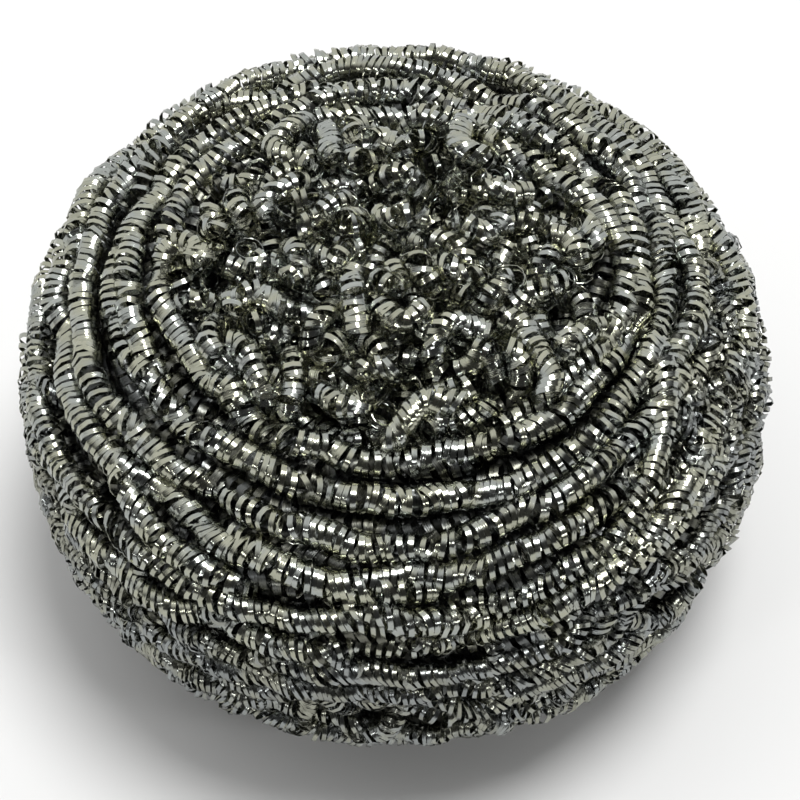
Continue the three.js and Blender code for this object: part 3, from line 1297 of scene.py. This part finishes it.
@dataclass
class CrownTangle:
    """The strand's last loops: short arcs, heaped in the dip of the crown, that dive at their ends.

    Attributes:
        form: the pad that they lie in.
        arcs: how many there are.
        points_each: points that are worked out along an arc.
        upright_every: one arc in so many stands upright instead, so that its end shows.
        upright_lean: how far the ends of such an arc lie aside.
        pulled_every: one arc in so many has its curls pulled apart.
        pulled_first: number of the first of these.
        layers: in which the arcs are heaped at first.
        droop: how much lower the ends of an arc lie.
        scatter: how far arcs are turned from the way that the turns run, in radians.
        span: shortest and longest distance between the ends of an arc.
        bow: most that an arc bends to one side.
        apart: distance that the centre lines of two arcs keep.
        push: share of what they lack that a round gives them.
        calm: share by which a round evens out an arc.
        narrow: width of the tangle from front to back, as a share of that from side to side.
        rounds: in which the arcs settle.
        dome: how far the tangle stands over the rim in the middle.
        overhang: how far it reaches past the rim.
        cover: from the top of the pad to the highest arcs at the tangle's edge.
        under: how far the lowest arcs lie under the floor.
        seed: for the arcs' ways.
        tangle_seed: for the curls.
        pulled_seed: for the curls that are pulled apart.
    """

    form: PadForm
    arcs: int = 150
    points_each: int = 12
    upright_every: int = 37
    upright_lean: float = 0.9 * MM
    pulled_every: int = 12
    pulled_first: int = 7
    layers: int = 3
    droop: float = 3.2 * MM
    scatter: float = 1.0
    span: Pair = (4.5 * MM, 8.5 * MM)
    bow: float = 2.6 * MM
    apart: float = 2.75 * MM
    push: float = 0.3
    calm: float = 0.25
    narrow: float = 0.88
    rounds: int = 90
    dome: float = 2.2 * MM
    overhang: float = 3.5 * MM
    cover: float = 1.6 * MM
    under: float = 1 * MM
    seed: int = 5
    tangle_seed: int = 47
    pulled_seed: int = 43

    def lay(self, fixed: np.ndarray) -> list[np.ndarray]:
        """Lays the arcs and lets them settle clear of each other.

        Args:
            fixed: points of the turns round the dip, which stay put.

        Returns:
            One centre line for each arc.
        """
        rng = np.random.default_rng(self.seed)
        loose = np.concatenate([self._arc(number, rng) for number in range(self.arcs)])
        settled = self._settle(loose, fixed)
        return list(settled.reshape(self.arcs, self.points_each, 3))

    def _arc(self, number: int, rng: np.random.Generator) -> np.ndarray:
        """Makes one arc: up from the floor, over, and down.

        Args:
            number: of the arc, which gives its place.
            rng: source of its way and bend.

        Returns:
            Its points.
        """
        reach = self.form.crown_radius * math.sqrt((number + 0.5) / self.arcs)
        turned = number * GOLDEN_ANGLE
        heading = turned + math.pi / 2 + self.scatter * rng.normal()
        ahead = np.array((math.cos(heading), math.sin(heading), 0.0))
        aside = np.array((-math.sin(heading), math.cos(heading), 0.0))
        across, back = reach * math.cos(turned), self.narrow * reach * math.sin(turned)
        middle = np.array((across, back, self.form.dish_floor()))
        depth = self.form.dish_depth + self.dome
        share = np.linspace(-1.0, 1.0, self.points_each)[:, None]
        if number % self.upright_every == self.upright_every // 2:
            line = middle + share * self.upright_lean * ahead
            line[:, 2] += 0.5 * (1.0 + share[:, 0]) * depth
            return line
        line = middle + 0.5 * rng.uniform(*self.span) * share * ahead
        line = line + rng.uniform(-1.0, 1.0) * self.bow * (1.0 - share * share) * aside
        layer = (number % self.layers + 0.5) / self.layers
        line[:, 2] += layer * depth - self.droop * share[:, 0] ** 4
        return line

    def _settle(self, points: np.ndarray, fixed: np.ndarray) -> np.ndarray:
        """Pushes crossing arcs apart, keeping each one smooth, even and inside the dip.

        Args:
            points: of all arcs, one after another.
            fixed: points that stay put.

        Returns:
            The arcs' points where they came to rest.
        """
        count = len(points)
        place = np.concatenate((points, fixed))
        order = np.arange(count)
        arc = order // self.points_each
        own = arc[:, None] == arc[None, :]
        later = order[:, None] < order[None, :]
        runs = points.reshape(self.arcs, self.points_each, 3)
        step = np.linalg.norm(runs[:, 1:] - runs[:, :-1], axis=2).mean(axis=1)[:, None, None]
        for _ in range(self.rounds):
            moving = place[:count]
            square = np.sum(place * place, axis=1)
            gaps = square[:count, None] + square[None, :] - 2.0 * moving @ place.T
            close = gaps < self.apart**2
            close[:, :count] &= later & ~own
            first, second = np.nonzero(close)
            between = place[first] - place[second]
            gap = np.maximum(np.linalg.norm(between, axis=1, keepdims=True), TINY)
            push = self.push * between * (self.apart - gap) / gap
            held = second >= count
            np.add.at(place, first, push)
            np.add.at(place, second[~held], -push[~held])
            place[:count] = self._evened(place[:count], step)
        return place[:count]

    def _evened(self, points: np.ndarray, step: np.ndarray) -> np.ndarray:
        """Evens out the arcs' points and keeps them inside the dip.

        Args:
            points: of all arcs, one after another.
            step: between the points of each arc.

        Returns:
            The evened points.
        """
        runs = points.reshape(self.arcs, self.points_each, 3)
        middle = 0.5 * (runs[:, :-2] + runs[:, 2:])
        runs[:, 1:-1] += self.calm * (middle - runs[:, 1:-1])
        for _ in range(2):
            link = runs[:, 1:] - runs[:, :-1]
            size = np.maximum(np.linalg.norm(link, axis=2, keepdims=True), TINY)
            shift = self.calm * link * (size - step) / size
            runs[:, :-1] += shift
            runs[:, 1:] -= shift
        radius = np.hypot(runs[..., 0], runs[..., 1] / self.narrow)
        limit = self.form.crown_radius + self.overhang
        runs[..., :2] *= np.minimum(1.0, limit / np.maximum(radius, TINY))[..., None]
        top = self.form.height - self.cover + self.dome * (1.0 - (radius / limit) ** 2)
        runs[..., 2] = np.clip(runs[..., 2], self.form.dish_floor() - self.under, top)
        return runs.reshape(-1, 3)

    def build(self, shop: Workshop, fixed: np.ndarray) -> None:
        """Makes the tangle, and the loops in it whose curls are pulled apart.

        Args:
            shop: what makes the pieces.
            fixed: points of the turns round the dip.
        """
        arcs = self.lay(fixed)
        pulled = range(self.pulled_first, self.arcs, self.pulled_every)
        tangle = [arc for number, arc in enumerate(arcs) if number not in pulled]
        shop.make("crown_tangle", tangle, Lay.CLOSED, Finish.BRIGHT, self.tangle_seed)
        loops = [arcs[number] for number in pulled]
        shop.make("crown_pulled_loops", loops, Lay.PULLED, Finish.BRIGHT, self.pulled_seed)


@dataclass(frozen=True)
class Lamp:
    """A small square lamp that shines at the middle of the pad.

    Attributes:
        name: of the lamp.
        place: where it hangs.
        aim: the place that it shines at.
        size: of its sides.
        power: in watts.
    """

    name: str
    place: Triple
    aim: Triple = (0.0, 0.0, 25 * MM)
    size: float = 0.09
    power: float = 0.5

    def hang(self) -> None:
        """Makes the lamp."""
        light = bpy.data.lights.new(self.name, "AREA")
        light.shape = "SQUARE"
        light.size = self.size
        light.energy = self.power
        lamp = add_object(self.name, light)
        lamp.location = self.place
        way = Vector(self.aim) - Vector(self.place)
        lamp.rotation_euler = way.to_track_quat("-Z", "Y").to_euler()


@dataclass(frozen=True)
class Studio:
    """Pale floor, soft light, and a camera at the photograph's viewing angle.

    Attributes:
        elevation: of the camera over the floor.
        distance: from the camera to the place that it looks at.
        target: that place.
        pad_pixels: width of the pad in the image.
        image_pixels: width of the image.
        sensor: width of the camera's sensor, in millimetres.
        floor_colour: of the floor.
        floor_size: of its sides.
        floor_roughness: of the floor.
        floor_shine: of the floor.
        key_place: where the key light shines from.
        key_spread: angle across the key light.
        key_strength: of the key light.
        lamps: the small lamps, which give the ribbon its glints.
        sky_axis: direction in which the sky is brightest.
        sky_range: shares of that direction between which the sky brightens.
        sky_levels: darkest and brightest sky.
        haze_range: upward shares between which the white haze at the horizon ends.
    """

    elevation: float = math.radians(56.0)
    distance: float = 0.32
    target: Triple = (0.6 * MM, 0.0, 21.9 * MM)
    pad_pixels: float = 743.0
    image_pixels: float = 800.0
    sensor: float = 36.0
    floor_colour: Triple = (0.74, 0.74, 0.735)
    floor_size: float = 8.0
    floor_roughness: float = 0.9
    floor_shine: float = 0.1
    key_place: Triple = (0.12, 0.08, 0.64)
    key_spread: float = math.radians(25.0)
    key_strength: float = 2.3
    lamps: tuple[Lamp, ...] = (
        Lamp("left_lamp", (-0.45, -0.42, 0.44)),
        Lamp("right_lamp", (0.5, -0.34, 0.42)),
    )
    sky_axis: Triple = (-0.2, 0.9, 0.39)
    sky_range: Pair = (-0.05, 0.57)
    sky_levels: Pair = (0.05, 1.06)
    haze_range: Pair = (0.17, 0.21)

    def build(self, form: PadForm) -> None:
        """Makes the floor, the world, the lights and the camera.

        Args:
            form: the pad that the camera frames.
        """
        self._floor()
        self._world()
        self._key()
        for lamp in self.lamps:
            lamp.hang()
        self._camera(form)
        bpy.context.scene.view_settings.view_transform = "Standard"

    def _floor(self) -> None:
        """Makes the floor that the pad stands on."""
        half = self.floor_size / 2
        corners = [(-half, -half, 0), (half, -half, 0), (half, half, 0), (-half, half, 0)]
        mesh = bpy.data.meshes.new("floor")
        mesh.from_pydata(corners, [], [(0, 1, 2, 3)])
        floor = add_object("floor", mesh)
        matt = bpy.data.materials.new("floor_matt")
        matt.use_nodes = True
        surface = {
            "Base Color": (*self.floor_colour, 1.0),
            "Roughness": self.floor_roughness,
            "Specular IOR Level": self.floor_shine,
        }
        NodeKit(matt.node_tree).feed(matt.node_tree.nodes["Principled BSDF"], surface)
        mesh.materials.append(matt)

    def _world(self) -> None:
        """Makes a sky that is white at the horizon, bright behind the pad and dark in front of it."""
        world = bpy.data.worlds.new("studio")
        bpy.context.scene.world = world
        world.use_nodes = True
        kit = NodeKit(world.node_tree)
        where = kit.node("ShaderNodeTexCoord").outputs["Generated"]
        feeds = {0: where, 1: self.sky_axis}
        ahead = kit.node("ShaderNodeVectorMath", feeds, operation="DOT_PRODUCT").outputs["Value"]
        sky = kit.ranged(ahead, self.sky_range, self.sky_levels, "SMOOTHSTEP")
        upward = kit.node("ShaderNodeSeparateXYZ", {0: where}).outputs["Z"]
        haze = kit.ranged(upward, self.haze_range, (1.0, 0.0), "SMOOTHSTEP")
        kit.feed(world.node_tree.nodes["Background"], {"Color": kit.maths("MAXIMUM", sky, haze)})

    def _key(self) -> None:
        """Hangs the far, soft key light."""
        light = bpy.data.lights.new("key_light", "SUN")
        light.angle = self.key_spread
        light.energy = self.key_strength
        key = add_object("key_light", light)
        key.location = self.key_place
        key.rotation_euler = Vector(self.key_place).to_track_quat("Z", "Y").to_euler()

    def _camera(self, form: PadForm) -> None:
        """Makes the camera, with the pad as wide in the image as in the photograph.

        Args:
            form: the pad.
        """
        data = bpy.data.cameras.new("camera")
        data.sensor_width = self.sensor
        tangent_distance = math.sqrt(self.distance**2 - (form.width / 2) ** 2)
        pixels_per_tangent = self.pad_pixels / 2 * tangent_distance / (form.width / 2)
        data.lens = self.sensor * pixels_per_tangent / self.image_pixels
        camera = add_object("camera", data)
        back = Vector((0.0, -math.cos(self.elevation), math.sin(self.elevation)))
        camera.location = Vector(self.target) + self.distance * back
        camera.rotation_euler = (-back).to_track_quat("-Z", "Y").to_euler()
        bpy.context.scene.camera = camera


def main() -> None:
    """Builds the scourer and the studio round it."""
    form = PadForm()
    shop = Workshop()
    turns = WoundTurns(form)
    turns.build(shop)
    StrayStrands(form).build(shop)
    SideTangle(form).build(shop)
    CrownTangle(form).build(shop, turns.round_crown())
    Studio().build(form)


if __name__ == "__main__":
    main()
